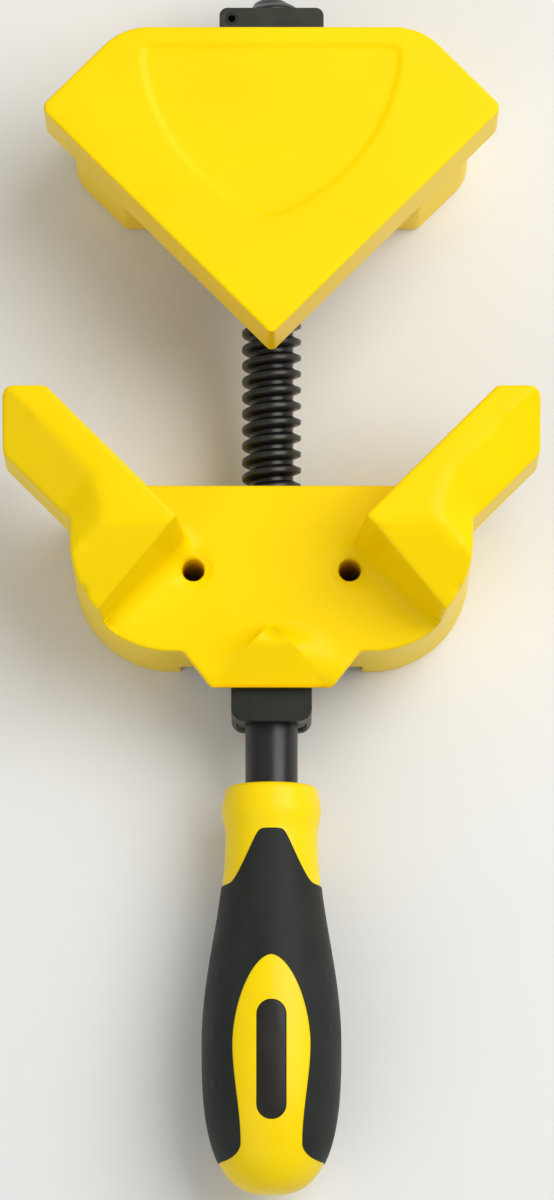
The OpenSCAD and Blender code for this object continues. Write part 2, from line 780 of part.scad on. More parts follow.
// The spindle nut: a flanged sleeve, notched for its lock pin.
module spindle_nut() {
    flange_y = carrier_end - flange_t - swing_gap;
    color(bronze) difference() {
        union() {
            axis_bar(nut_d, flange_y - nut_l, flange_y + eps);
            axis_bar(flange_d, flange_y, flange_y + flange_t);
        }
        axis_bar(thread_d + 2 * running, flange_y - nut_l - 1, carrier_end + 1);
        translate([-lock_pin_out, lock_pin_y, 0])
            cylinder(d = lock_pin_d + 2 * pressed, h = far, center = true);
    }
}

module nut_lock_pin() {
    color(bright_steel) translate([-lock_pin_out, lock_pin_y, carrier_foot]) difference() {
        cylinder(d = lock_pin_d, h = carrier_h);
        translate([0, 0, -1]) cylinder(d = lock_pin_bore, h = carrier_h + 2);
    }
}

// The head's outline in plan, set in by a wall: a right-angled point, slanted sides and a back.
module head_outline(inset) {
    corner = jaw_half_w - inset * sqrt(2);
    back = jaw_l - inset;
    back_half_w = 2 * jaw_half_w - jaw_l - inset * (sqrt(2) - 1);
    flat = point_w / 2;
    tip = inset > 0 ? [[0, inset * sqrt(2)]] : [[-flat, flat], [flat, flat]];
    translate([0, jaw_point]) rounded_outline(
        concat(tip, [[corner, jaw_half_w], [back_half_w, back], [-back_half_w, back], [-corner, jaw_half_w]]),
        concat([for (p = tip) 0], [side_r, back_r - inset, back_r - inset, side_r]));
}

// The pedestal's outline in plan, set in by a wall.
module pedestal_outline(inset) {
    half_w = pedestal_w / 2 - inset;
    front_half_w = pedestal_front_w / 2 - inset * (sqrt(2) - 1);
    back = jaw_l - pedestal_inset - inset;
    side_front = pedestal_front + pedestal_w / 2 - pedestal_front_w / 2 + inset * (sqrt(2) - 1);
    slant = 2 * jaw_half_w - (pedestal_inset + inset) * sqrt(2);
    translate([0, jaw_point]) rounded_outline(
        both_sides([[front_half_w, pedestal_front + inset],
                    [half_w, side_front],
                    [half_w, slant - half_w],
                    [slant - back, back]]),
        both_radii([pedestal_front_r, pedestal_r - inset, pedestal_r - inset, back_r - inset]));
}

// The sunk panel on the head: a shield with bowed sides.
module panel_outline() {
    top = jaw_back - panel_edge;
    chord = [panel_half_w, panel_l];
    reach = sqrt(panel_side_r * panel_side_r - chord * chord / 4);
    centre = chord / 2 + unit([-chord.y, chord.x]) * reach;
    intersection() {
        intersection_for(side = [0, 1]) mirror([side, 0])
            translate([0, top - panel_l] + centre) circle(panel_side_r);
        translate([-far / 2, top - far]) square([far, far]);
    }
}

// Ribs inside the head, the swivel boss and the bosses for the keeper screws.
module jaw_inner_walls() {
    rib_top = jaw_top - jaw_wall / 2;
    translate([0, swivel_y, carrier_top + swing_gap])
        cylinder(d = pin_d + 2 * swivel_boss_wall, h = rib_top - carrier_top - swing_gap);
    translate([-pedestal_w / 2 + jaw_wall / 2, swivel_y - rib_t / 2, head_z])
        cube([pedestal_w - jaw_wall, rib_t, rib_top - head_z]);
    translate([-rib_t / 2, jaw_point + jaw_wall, head_z + head_h / 3])
        cube([rib_t, swivel_y - jaw_point - jaw_wall, rib_top - head_z - head_h / 3]);
    for (screw = jaw_screws)
        translate([screw.x, screw.y, jaw_keeper_top])
            cylinder(d = screw_boss_d, h = rib_top - jaw_keeper_top);
}

module jaw_casting() {
    inside_top = jaw_top - jaw_wall;
    color(cast_yellow) difference() {
        union() {
            difference() {
                translate([0, 0, head_z]) linear_extrude(head_h) head_outline(0);
                linear_extrude(inside_top) head_outline(jaw_wall);
            }
            difference() {
                translate([0, 0, foot_gap])
                    linear_extrude(inside_top + jaw_wall / 2 - foot_gap) pedestal_outline(0);
                linear_extrude(inside_top) pedestal_outline(jaw_wall);
            }
            jaw_inner_walls();
        }
        translate([0, 0, jaw_top - panel_depth]) linear_extrude(far) panel_outline();
        tunnel(tunnel_half_w + side_room, -far, swivel_y);
        translate([-carrier_way / 2, swivel_y, -1]) cube([carrier_way, far, carrier_top + swing_gap + 1]);
        translate([0, swivel_y, carrier_top]) cylinder(d = pin_d + 2 * running, h = pin_out + side_room);
        for (screw = jaw_screws)
            translate([screw.x, screw.y, jaw_keeper_top - keeper_t]) keeper_screw_hole();
    }
}

module jaw_keeper_plate() {
    half_w = jaw_screw_x + screw_boss_d / 2;
    half_l = (jaw_screw_spacing + screw_boss_d) / 2;
    color(bright_steel) difference() {
        translate([0, jaw_keeper_y, jaw_keeper_top - keeper_t]) linear_extrude(keeper_t)
            rounded_outline(
                both_sides([[half_w, -half_l], [half_w, half_l]]),
                both_radii([keeper_r, keeper_r]));
        translate([0, swivel_y, 0]) cylinder(d = pin_d + 2 * running, h = far, center = true);
        for (screw = jaw_screws)
            translate([screw.x, screw.y, jaw_keeper_top - keeper_t]) keeper_screw_hole();
    }
}

module jaw_keeper_screws() {
    color(bright_steel) for (screw = jaw_screws)
        translate([screw.x, screw.y, jaw_keeper_top - keeper_t]) keeper_screw();
}

frame_casting();
block_keeper_plate();
block_keeper_screws();
thrust_block();
block_swivel_pins();
journal_bush();
front_thrust_washer();
rear_thrust_washer();
spindle();
thrust_collar();
collar_pin();
handle_core();
handle_grip();
handle_inlay();
nut_carrier();
carrier_swivel_pins();
spindle_nut();
nut_lock_pin();
jaw_casting();
jaw_keeper_plate();
jaw_keeper_screws();
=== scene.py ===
"""Looks of a corner clamp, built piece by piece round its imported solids, in metres."""

import math

import bmesh
import bpy
import numpy as np
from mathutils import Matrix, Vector


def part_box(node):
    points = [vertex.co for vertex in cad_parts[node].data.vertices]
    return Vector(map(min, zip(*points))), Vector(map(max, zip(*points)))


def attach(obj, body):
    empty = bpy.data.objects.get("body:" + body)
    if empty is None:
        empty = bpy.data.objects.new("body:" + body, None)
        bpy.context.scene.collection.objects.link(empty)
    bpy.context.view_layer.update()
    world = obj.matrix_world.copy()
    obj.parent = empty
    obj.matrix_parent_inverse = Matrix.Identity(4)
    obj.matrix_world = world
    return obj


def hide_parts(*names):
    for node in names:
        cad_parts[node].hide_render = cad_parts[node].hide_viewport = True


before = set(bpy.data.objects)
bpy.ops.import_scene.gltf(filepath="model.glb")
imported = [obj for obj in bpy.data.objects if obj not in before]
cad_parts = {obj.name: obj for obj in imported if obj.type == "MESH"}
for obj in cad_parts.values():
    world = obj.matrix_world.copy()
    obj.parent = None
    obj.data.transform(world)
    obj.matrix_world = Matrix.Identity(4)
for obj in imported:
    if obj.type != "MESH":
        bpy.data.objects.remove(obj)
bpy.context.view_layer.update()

# Frame casting: the fixed jaw with plate, fences and nose, die-cast in aluminium and powder-coated.
# The solid's edges are sharp, so an even remesh is smoothed until they have the mould's radius, and
# further where the mould is generous: along the fences' ridges, at their feet and round the nose.
MM = 0.001
WELD_GAP = 0.002
CAST_GRID = 0.6
CAST_ROUNDS = 5
SOFT_ROUNDS = 60
SOFT_SHARE = 0.5
CAST_KEEP = 0.4
FLAT_WEIGHT = 80
PLATE_Z = 35.0
PLATE_SLACK = 0.4
TOP_EDGE = 0.6
CORNER_BACK = 13.5
HOLE_X = 19.0
HOLE_ROUND = 4.2
RIDGE_RISE = 12.0
RIDGE_V = 3.5
RIDGE_U = (34.5, 73.0)
RIDGE_X = 62.0
SLOPE_V = 15.5
SLOPE_X = 46.0
FOOT_RISE = 7.0
FOOT_U = (23.0, 33.0)
FOOT_V = (-4.0, 27.0)
COVE_AT = 24.6
COVE_R = 4.0
COVE_V = 0.8
COVE_PAST = 1.0
NOSE_SOFT = 0.5
NOSE_Y = (-27.4, -3.0)
NOSE_HALF_W = 24.0
NOSE_TAPER_Y = -18.0
NOSE_TAPER = 0.79
NOSE_CORNER = (21.0, -20.0)
NOSE_MARGIN = 1.5
SOLID_PEAK = 5.0
PEAK_RISE = 3.4
PEAK_RAMP = 3.6
FACE_AT = 18.2
FACE_FALL = 0.55
FACE_HALF_W = 5.2
CREASE_TURN = 0.7
WALL_LEAST = 1.0
WALL_RUN = 7.5
WALL_SPREAD = 0.8
TONE_SPAN = (0.35, 0.65)
GLOSS_SPAN = (0.3, 0.7)
GLOSS_SHARE = (0.85, 1.15)
CLOUD_DETAIL = 4
SPECK_DETAIL = 2
GRAIN_STRENGTH = 0.5


def tone(red, green, blue):
    """A colour given as 8-bit display values, as linear light."""
    level = np.array([red, green, blue]) / 255
    linear = np.where(level <= 0.04045, level / 12.92, ((level + 0.055) / 1.055) ** 2.4)
    return (*linear, 1.0)


def finish(name, light, dark, patch, grain, height, rough, sockets):
    """A surface in two close tones: broad noise shifts tone and gloss, fine noise raises the grain.

    patch, grain and height are the sizes of the two noises and of the grain's relief, in millimetres.
    """
    material = bpy.data.materials.new(name)
    material.use_nodes = True
    nodes = material.node_tree.nodes
    wire = material.node_tree.links.new
    shader = nodes["Principled BSDF"]
    place = nodes.new("ShaderNodeTexCoord")
    cloud = nodes.new("ShaderNodeTexNoise")
    cloud.inputs["Scale"].default_value = 1 / (patch * MM)
    cloud.inputs["Detail"].default_value = CLOUD_DETAIL
    ramp = nodes.new("ShaderNodeValToRGB")
    for stop, position, colour in zip(ramp.color_ramp.elements, TONE_SPAN, (dark, light)):
        stop.position = position
        stop.color = colour
    gloss = nodes.new("ShaderNodeMapRange")
    gloss.inputs["From Min"].default_value = GLOSS_SPAN[0]
    gloss.inputs["From Max"].default_value = GLOSS_SPAN[1]
    gloss.inputs["To Min"].default_value = GLOSS_SHARE[0] * rough
    gloss.inputs["To Max"].default_value = GLOSS_SHARE[1] * rough
    speck = nodes.new("ShaderNodeTexNoise")
    speck.inputs["Scale"].default_value = 1 / (grain * MM)
    speck.inputs["Detail"].default_value = SPECK_DETAIL
    relief = nodes.new("ShaderNodeBump")
    relief.inputs["Strength"].default_value = GRAIN_STRENGTH
    relief.inputs["Distance"].default_value = height * MM
    wire(place.outputs["Object"], cloud.inputs["Vector"])
    wire(place.outputs["Object"], speck.inputs["Vector"])
    wire(cloud.outputs["Fac"], ramp.inputs["Fac"])
    wire(cloud.outputs["Fac"], gloss.inputs["Value"])
    wire(speck.outputs["Fac"], relief.inputs["Height"])
    wire(ramp.outputs["Color"], shader.inputs["Base Color"])
    wire(gloss.outputs["Result"], shader.inputs["Roughness"])
    wire(relief.outputs["Normal"], shader.inputs["Normal"])
    for socket, value in sockets.items():
        shader.inputs[socket].default_value = value
    return material


def solid_copy(node, name):
    """A copy of a solid's mesh under a new name, with its loose triangles joined and no shading kept."""
    source = bmesh.new()
    source.from_mesh(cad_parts[node].data)
    bmesh.ops.remove_doubles(source, verts=source.verts, dist=WELD_GAP * MM)
    mesh = bpy.data.meshes.new(name)
    source.to_mesh(mesh)
    source.free()
    piece = bpy.data.objects.new(name, mesh)
    bpy.context.scene.collection.objects.link(piece)
    return piece


def read(parts, value, width, kind=float):
    """One value of every vertex, edge, face or corner of a mesh, as the rows of an array."""
    values = np.empty(len(parts) * width, kind)
    parts.foreach_get(value, values)
    return values.reshape(-1, width)


def bake(piece):
    """Makes a piece's modifiers part of its mesh."""
    shaped = piece.evaluated_get(bpy.context.evaluated_depsgraph_get())
    mesh = bpy.data.meshes.new_from_object(shaped)
    piece.modifiers.clear()
    piece.data = mesh


def smooth(piece, rounds, zone):
    """Smooths a mesh by a number of rounds, within a named group of vertices or all over."""
    soft = piece.modifiers.new("mould_radius", "SMOOTH")
    soft.factor = SOFT_SHARE
    soft.iterations = rounds
    soft.vertex_group = zone


def cast(node, name, generous, relief):
    """A casting: an even grid drawn onto the solid and smoothed, then thinned where it is flat.

    generous(x, y, z) says how far each point shares in a larger radius, from 0 to 1, and
    relief(x, y, z) gives the heights anew.
    """
    piece = solid_copy(node, name)
    grid = piece.modifiers.new("even_grid", "REMESH")
    grid.mode = "VOXEL"
    grid.voxel_size = CAST_GRID * MM
    grid.use_smooth_shade = True
    drawn = piece.modifiers.new("onto_solid", "SHRINKWRAP")
    drawn.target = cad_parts[node]
    drawn.wrap_method = "NEAREST_SURFACEPOINT"
    smooth(piece, CAST_ROUNDS, "")
    bake(piece)
    place = read(piece.data.vertices, "co", 3) / MM
    place[:, 2] = relief(*place.T)
    piece.data.vertices.foreach_set("co", (place * MM).ravel())
    zone = piece.vertex_groups.new(name="generous")
    share = generous(*place.T)
    for level in np.unique(share):
        zone.add(np.flatnonzero(share == level).tolist(), float(level), "REPLACE")
    smooth(piece, SOFT_ROUNDS, "generous")
    thin = piece.modifiers.new("fewer_faces", "DECIMATE")
    thin.ratio = CAST_KEEP
    even = piece.modifiers.new("flat_faces", "WEIGHTED_NORMAL")
    even.weight = FLAT_WEIGHT
    bake(piece)
    piece.vertex_groups.clear()
    piece.data.name = name
    return piece


def fence_place(x, y):
    """How far a point lies along a fence from the corner, and how far away from its face.

    u, v = (|x| +- (y + back)) / sqrt 2, the same on both sides of the middle plane.
    """
    side = np.abs(x)
    return (side + y + CORNER_BACK) / math.sqrt(2), (side - y - CORNER_BACK) / math.sqrt(2)


def between(low, high, value):
    """True where a value lies between two bounds."""
    return (value > low) & (value < high)


def frame_generous(x, y, z):
    """The fences' ridges, the coves at their feet and the nose's creases, clear of the outer edges."""
    side = np.abs(x)
    u, v = fence_place(x, y)
    on_fence = (z > PLATE_Z + RIDGE_RISE) & (v > RIDGE_V) & between(*RIDGE_U, u) & (side < RIDGE_X)
    ridge = on_fence & ((v < SLOPE_V) | (side < SLOPE_X))
    on_plate = z > PLATE_Z - PLATE_SLACK
    off_hole = np.hypot(side - HOLE_X, y) > HOLE_ROUND
    cove = on_plate & (z < PLATE_Z + FOOT_RISE) & between(*FOOT_U, u) & between(*FOOT_V, v) & off_hole
    taper = NOSE_CORNER[0] + NOSE_TAPER * (y - NOSE_CORNER[1])
    half_w = np.where(y < NOSE_TAPER_Y, taper, NOSE_HALF_W)
    nose = on_plate & between(*NOSE_Y, y) & (side < half_w - NOSE_MARGIN) & (u < FOOT_U[0])
    return np.maximum(1.0 * (ridge | cove), NOSE_SOFT * nose)


def ease(low, high, value):
    """A smooth step from 0 at low to 1 at high: 3 t^2 - 2 t^3."""
    step = np.clip((value - low) / (high - low), 0, 1)
    return step * step * (3 - 2 * step)


def frame_relief(x, y, z):
    """The plate's top: the nose's sloped face with walls that ease down, and a cove at each buttress.

    Past the creases the nose falls by 1 - sin over a quarter turn, the further from the corner the
    more gently, and a cove is a quarter circle.
    """
    side = np.abs(x)
    back = -y
    u, v = fence_place(x, y)
    face = PEAK_RISE - FACE_FALL * np.maximum(back - FACE_AT, 0)
    half_w = np.minimum(back - CORNER_BACK, FACE_HALF_W + CREASE_TURN * (back - FACE_AT))
    run = np.clip(WALL_SPREAD * v, WALL_LEAST, WALL_RUN)
    past = np.clip((side - half_w) / math.sqrt(2) / run, 0, 1)
    rise = face * (1 - np.sin(past * math.pi / 2)) * ease(0, PEAK_RAMP, v)
    top = z > PLATE_Z - TOP_EDGE
    nose = PLATE_Z + rise + np.minimum(z - PLATE_Z, 0)
    on_nose = top & (past < 1) & (u < FOOT_U[0]) & (z < PLATE_Z + SOLID_PEAK + TOP_EDGE)
    z = np.where(on_nose, nose, z)
    turn = np.clip((u - COVE_AT) / COVE_R, 0, 1)
    cove = PLATE_Z + COVE_R * (1 - np.sqrt(1 - turn ** 2))
    foot = between(COVE_AT, COVE_AT + COVE_R + COVE_PAST, u)
    at_foot = top & (z < PLATE_Z + COVE_R) & (v > COVE_V) & foot
    return np.where(at_foot, np.maximum(z, cove), z)


def fit(piece, body, slot, material, *nodes):
    """Gives a piece its material and its body, and lets it stand for its solids; the slot is not used."""
    piece.data.materials.clear()
    piece.data.materials.append(material)
    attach(piece, body)
    if nodes:
        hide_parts(*nodes)


yellow_coat = finish(
    "yellow_coat", light=tone(253, 218, 0), dark=tone(250, 213, 0), patch=30, grain=0.6, height=0.012,
    rough=0.34, sockets={"Specular IOR Level": 0.1})
frame_cast = cast("frame_casting", "frame_cast", frame_generous, frame_relief)
fit(frame_cast, "frame", "yellow_paint", yellow_coat, "frame_casting")

# Thrust block: a milled steel block, blackened, that swings under the nose and holds the journal.
# Its edges are broken to a small radius, and bush and washers show only at its ends.
BLOCK_EDGE = 0.7
BLOCK_BORE_R = 8.8
EDGE_STEPS = 3
SHARP_TURN = math.radians(40)
AXIS_Z = sum(corner.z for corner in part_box("spindle")) / 2 / MM


def milled(node, name, edge, bore_r):
    """A milled block: the solid with every sharp edge but its bore's broken to a small radius.

    An edge is sharp where the normals of its two triangles turn further than the limit. The corners of
    the triangles, sorted by the edge that starts there, come in pairs that name those two.
    """
    piece = solid_copy(node, name)
    mesh = piece.data
    place = read(mesh.vertices, "co", 3)
    normal = read(mesh.polygons, "normal", 3)
    ends = read(mesh.edges, "vertices", 2, np.int32)
    border = read(mesh.loops, "edge_index", 1, np.int32)[:, 0]
    pair = np.argsort(border, kind="stable").reshape(-1, 2) // 3
    level = np.sum(normal[pair[:, 0]] * normal[pair[:, 1]], axis=1)
    off_axis = np.hypot(place[:, 0], place[:, 2] - AXIS_Z * MM)[ends].min(axis=1)
    sharp = (level < math.cos(SHARP_TURN)) & (off_axis > bore_r * MM)
    weight = mesh.attributes.new("bevel_weight_edge", "FLOAT", "EDGE")
    weight.data.foreach_set("value", sharp.astype(np.float32))
    mesh.shade_smooth()
    broken = piece.modifiers.new("broken_edges", "BEVEL")
    broken.limit_method = "WEIGHT"
    broken.width = edge * MM
    broken.segments = EDGE_STEPS
    broken.harden_normals = True
    even = piece.modifiers.new("flat_faces", "WEIGHTED_NORMAL")
    even.keep_sharp = True
    return piece


def dress(material, *nodes):
    """Gives solids that keep their own shape a finish."""
    for node in nodes:
        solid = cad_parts[node]
        solid.data.materials.clear()
        solid.data.materials.append(material)


black_steel = finish(
    "black_steel", light=tone(38, 40, 33), dark=tone(30, 32, 25), patch=12, grain=0.25, height=0.010,
    rough=0.40, sockets={"Specular IOR Level": 0.22})
bronze = finish(
    "bronze", light=tone(190, 146, 78), dark=tone(170, 126, 64), patch=6, grain=0.2, height=0.008,
    rough=0.32, sockets={"Metallic": 1.0})
bright_steel = finish(
    "bright_steel", light=tone(186, 188, 190), dark=tone(160, 163, 167), patch=5, grain=0.18, height=0.008,
    rough=0.34, sockets={"Metallic": 1.0})
block = milled("thrust_block", "swing_block", BLOCK_EDGE, BLOCK_BORE_R)
fit(block, "block", "black_steel", black_steel, "thrust_block")
dress(bronze, "journal_bush")
dress(bright_steel, "block_swivel_pins", "collar_pin")
dress(black_steel, "front_thrust_washer", "rear_thrust_washer", "thrust_collar")

# Spindle: one steel bar, blackened, with a rolled trapezoidal thread, a plain journal and a tail.
# The thread is right-handed with a pitch of 4 mm, and runs out short of the shoulder and the dome.
PITCH = 4.0
THREAD_R = 7.25
ROOT_R = 5.3
JOURNAL_R = 6.4
JOURNAL_SEAT = 8.0
TAIL_R = 5.5
TAIL_EDGE = 0.6
RING_GAP = 0.4
STEP_GAP = 0.02
CREST_AT = 54.0
CREST_SHARE = 0.22
ROOT_SHARE = 0.22
CUT_FROM = 0.5
RUN_OUT_FROM = 1.0
RUN_OUT = 3.0
CUT_STEP = 0.2
DOME_L = 3.9
DOME_ROWS = 14
BAR_COLUMNS = 72
SEAM_GAP = 0.001
SPINDLE_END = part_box("spindle")[1].y / MM
SPINDLE_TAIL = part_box("spindle")[0].y / MM
SHOULDER_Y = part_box("rear_thrust_washer")[1].y / MM
HANDLE_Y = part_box("handle_core")[1].y / MM


def skin(name, points, closed):
    """A mesh over a grid of points in millimetres: quads between neighbours, joined round if closed."""
    rows, columns = points.shape[:2]
    index = np.arange(rows * columns).reshape(rows, columns)
    if closed:
        index = np.hstack([index, index[:, :1]])
    quads = np.stack([index[:-1, :-1], index[:-1, 1:], index[1:, 1:], index[1:, :-1]], axis=-1)
    mesh = bpy.data.meshes.new(name)
    mesh.from_pydata((points.reshape(-1, 3) * MM).tolist(), [], quads.reshape(-1, 4).tolist())
    surface = bmesh.new()
    surface.from_mesh(mesh)
    bmesh.ops.remove_doubles(surface, verts=surface.verts, dist=SEAM_GAP * MM)
    bmesh.ops.recalc_face_normals(surface, faces=surface.faces)
    surface.to_mesh(mesh)
    surface.free()
    mesh.shade_smooth()
    piece = bpy.data.objects.new(name, mesh)
    bpy.context.scene.collection.objects.link(piece)
    return piece


def full_turn(columns):
    """Angles evenly round a full turn, as one row."""
    return np.linspace(0, 2 * math.pi, columns, endpoint=False)[None, :]


def round_bar(along, radius, angle):
    """Points round the spindle's axis: x = r sin a, y along the axis, z = axis + r cos a."""
    along = np.broadcast_to(along, radius.shape)
    return np.stack([radius * np.sin(angle), along, AXIS_Z + radius * np.cos(angle)], axis=-1)


def thread_radius(along, angle):
    """The bar's radius: a trapezoid wave of distance along the axis, shifted by one pitch a turn."""
    turn = (along - CREST_AT) / PITCH - angle / (2 * math.pi)
    off_crest = np.abs(turn - np.round(turn)) * 2
    wave = 1 - ease(CREST_SHARE, 1 - ROOT_SHARE, off_crest)
    full = ease(SHOULDER_Y + RUN_OUT_FROM, SHOULDER_Y + RUN_OUT_FROM + RUN_OUT, along)
    cut = ROOT_R + (THREAD_R - ROOT_R) * wave
    return THREAD_R + (cut - THREAD_R) * full


def spindle_points():
    """The bar from tail to domed end; the dome is a quarter ellipse that the thread fades into.

    A ring close to each step keeps the shading of the plain lengths straight.
    """
    angle = full_turn(BAR_COLUMNS)
    journal_end = HANDLE_Y - JOURNAL_SEAT
    plain = np.array([
        [SPINDLE_TAIL, 0],
        [SPINDLE_TAIL, TAIL_R - TAIL_EDGE],
        [SPINDLE_TAIL + TAIL_EDGE, TAIL_R],
        [journal_end, TAIL_R],
        [journal_end, JOURNAL_R],
        [journal_end + RING_GAP, JOURNAL_R],
        [SHOULDER_Y - RING_GAP, JOURNAL_R],
        [SHOULDER_Y - STEP_GAP, JOURNAL_R],
        [SHOULDER_Y, THREAD_R - RING_GAP],
        [SHOULDER_Y + RING_GAP, THREAD_R]])
    plain_radius = np.repeat(plain[:, 1:], angle.size, axis=1)
    along = np.arange(SHOULDER_Y + CUT_FROM, SPINDLE_END - DOME_L, CUT_STEP)[:, None]
    cut_radius = thread_radius(along, angle)
    rise = np.sin(np.linspace(0, math.pi / 2, DOME_ROWS))[:, None]
    dome_y = SPINDLE_END - DOME_L + DOME_L * rise
    dome_r = np.sqrt(1 - rise ** 2) * (ROOT_R + (thread_radius(dome_y, angle) - ROOT_R) * (1 - rise))
    y = np.vstack([plain[:, :1], along, dome_y])
    return round_bar(y, np.vstack([plain_radius, cut_radius, dome_r]), angle)


def paint_root_shade_crest_light(material):
    """Turns the tone with distance from the spindle's axis: painted shade in the roots and painted light
    on the crests.
    """
    nodes = material.node_tree.nodes
    wire = material.node_tree.links.new
    across = nodes.new("ShaderNodeMapping")
    across.inputs["Location"].default_value = (0, 0, -AXIS_Z * MM)
    across.inputs["Scale"].default_value = (1, 0, 1)
    reach = nodes.new("ShaderNodeVectorMath")
    reach.operation = "LENGTH"
    height = nodes.new("ShaderNodeMapRange")
    height.inputs["From Min"].default_value = ROOT_R * MM
    height.inputs["From Max"].default_value = THREAD_R * MM
    wire(nodes["Texture Coordinate"].outputs["Object"], across.inputs["Vector"])
    wire(across.outputs["Vector"], reach.inputs[0])
    wire(reach.outputs["Value"], height.inputs["Value"])
    wire(height.outputs["Result"], nodes["Color Ramp"].inputs["Fac"])


# The dark tone below is painted shade for the thread's roots, and the light tone is painted light for its
# crests.
oiled_steel = finish(
    "oiled_steel", light=tone(34, 35, 33), dark=tone(10, 11, 10), patch=12, grain=0.25, height=0.006,
    rough=0.33, sockets={"Specular IOR Level": 0.4})
paint_root_shade_crest_light(oiled_steel)
spindle = skin("threaded_spindle", spindle_points(), True)
fit(spindle, "spindle", "black_steel", oiled_steel, "spindle")

# Handle: a hard yellow moulding on the spindle's tail, a bead at its front and a swelling belly.
# The soft grip is moulded over it, so the core shows at the front, in the windows and at the butt.
BEAD_L = 12.0
BEAD_R = 12.05
WAIST_R = 11.2
BELLY_AT = 63.0
BELLY_R = 16.75
HANDLE_L = 99.5
BUTT_POWER = 2.75
FRONT_EDGE = 1.4
BORE_GAP = 0.02
BORE_LIP = 1.5
CORE_COLUMNS = 96
EDGE_ROWS = 6
BODY_ROWS = 60
BUTT_ROWS = 40


def handle_radius(s):
    """The radius at a distance from the front: bead, swelling waist, and a superellipse for the butt."""
    bead = WAIST_R + (BEAD_R - WAIST_R) / 2 * (1 - np.cos(2 * math.pi * s / BEAD_L))
    swell_turn = math.pi * (s - BEAD_L) / (BELLY_AT - BEAD_L)
    swell = WAIST_R + (BELLY_R - WAIST_R) * (1 - np.cos(swell_turn)) / 2
    fall = np.clip((s - BELLY_AT) / (HANDLE_L - BELLY_AT), 0, 1)
    butt = BELLY_R * (1 - fall ** BUTT_POWER) ** (1 / BUTT_POWER)
    return np.where(s < BEAD_L, bead, np.where(s < BELLY_AT, swell, butt))


def handle_points(s, angle, lift):
    """Points on the handle's surface, lifted off it; the butt's pole is where the radius comes to 0."""
    radius = np.maximum(handle_radius(s) + lift, 0)
    return np.stack([radius * np.sin(angle), HANDLE_Y - s, AXIS_Z + radius * np.cos(angle)], axis=-1)


def core_points():
    """The core as a turned shell: a face round the journal, a rounded front edge, then the profile."""
    corner = np.linspace(math.pi / 2, 0, EDGE_ROWS)[:, None]
    edge_s = FRONT_EDGE * (1 - np.sin(corner))
    edge_lift = FRONT_EDGE * (np.cos(corner) - 1)
    body_s = np.linspace(FRONT_EDGE, BELLY_AT, BODY_ROWS)[1:, None]
    butt_turn = np.linspace(0, math.pi / 2, BUTT_ROWS)[1:, None]
    butt_s = BELLY_AT + (HANDLE_L - BELLY_AT) * np.sin(butt_turn)
    face_s = np.zeros((2, 1))
    face_lift = JOURNAL_R + np.array([[BORE_GAP], [BORE_LIP]]) - handle_radius(face_s)
    s = np.vstack([face_s, edge_s, body_s, butt_s])
    lift = np.vstack([face_lift, edge_lift, np.zeros((len(body_s) + len(butt_s), 1))])
    s, angle = np.broadcast_arrays(s, full_turn(CORE_COLUMNS))
    return handle_points(s, angle, np.broadcast_to(lift, s.shape))


yellow_moulding = finish(
    "yellow_moulding", light=tone(252, 219, 2), dark=tone(249, 214, 0), patch=25, grain=0.5, height=0.006,
    rough=0.34, sockets={"Specular IOR Level": 0.2})
core = skin("handle_moulding", core_points(), True)
fit(core, "spindle", "yellow_plastic", yellow_moulding, "handle_core")

# Soft grip: a dark rubber overmould with a tongue at the front of both broad sides and two side lobes.
# A long window between the lobes leaves the core bare and opens into the butt.
TONGUE_AT = 10.8
GRIP_AT = 24.3
TONGUE_IN = 3.2
TONGUE_OUT = 8.9
TONGUE_SOFT = 0.08
RING_AT = 36.0
WINDOW_AT = 42.6
WINDOW_WIDE_AT = 64.0
WINDOW_HALF_W = 9.4
WINDOW_POWER = 1.75
NECK_AT = 88.0
NECK_HALF_W = 7.4
LOBE_END = 92.0
GRIP_LIFT = 0.22
GRIP_WALL = 0.9
RIM_SINK = 0.3
GRIP_COLUMNS = 81
RING_ROWS = 24
BAND_ROWS = 4
WINDOW_ROWS = 23
LOBE_ROWS = 15
FLARE_ROWS = 11


def grip_front(x):
    """Where the grip starts, by distance from the middle plane: a flat tongue, a ramp, the ring.

    The ramp is the difference of two soft corners, each w ln(1 + exp(t / w)).
    """
    t = (np.abs(x) - TONGUE_IN) / (TONGUE_OUT - TONGUE_IN)
    ramp = np.logaddexp(0, t / TONGUE_SOFT) - np.logaddexp(0, (t - 1) / TONGUE_SOFT)
    return TONGUE_AT + (GRIP_AT - TONGUE_AT) * TONGUE_SOFT * ramp


def window_half_width(s):
    """The window's half-width: half a superellipse, a slow narrowing to the neck, a rounded flare."""
    rise = np.clip((WINDOW_WIDE_AT - s) / (WINDOW_WIDE_AT - WINDOW_AT), 0, 1)
    upper = WINDOW_HALF_W * (1 - rise ** WINDOW_POWER) ** (1 / WINDOW_POWER)
    lower = WINDOW_HALF_W + (NECK_HALF_W - WINDOW_HALF_W) * ease(WINDOW_WIDE_AT, NECK_AT, s)
    flare = np.clip((s - NECK_AT) / (LOBE_END - NECK_AT), 0, 1)
    end_r = handle_radius(np.array(LOBE_END))
    tail = NECK_HALF_W + (end_r - NECK_HALF_W) * (1 - np.sqrt(1 - flare ** 2))
    return np.where(s < WINDOW_WIDE_AT, upper, np.where(s < NECK_AT, lower, tail))


def quarter_turn(rows):
    """Angles over a quarter turn without its start."""
    return np.linspace(0, math.pi / 2, rows + 1)[1:]


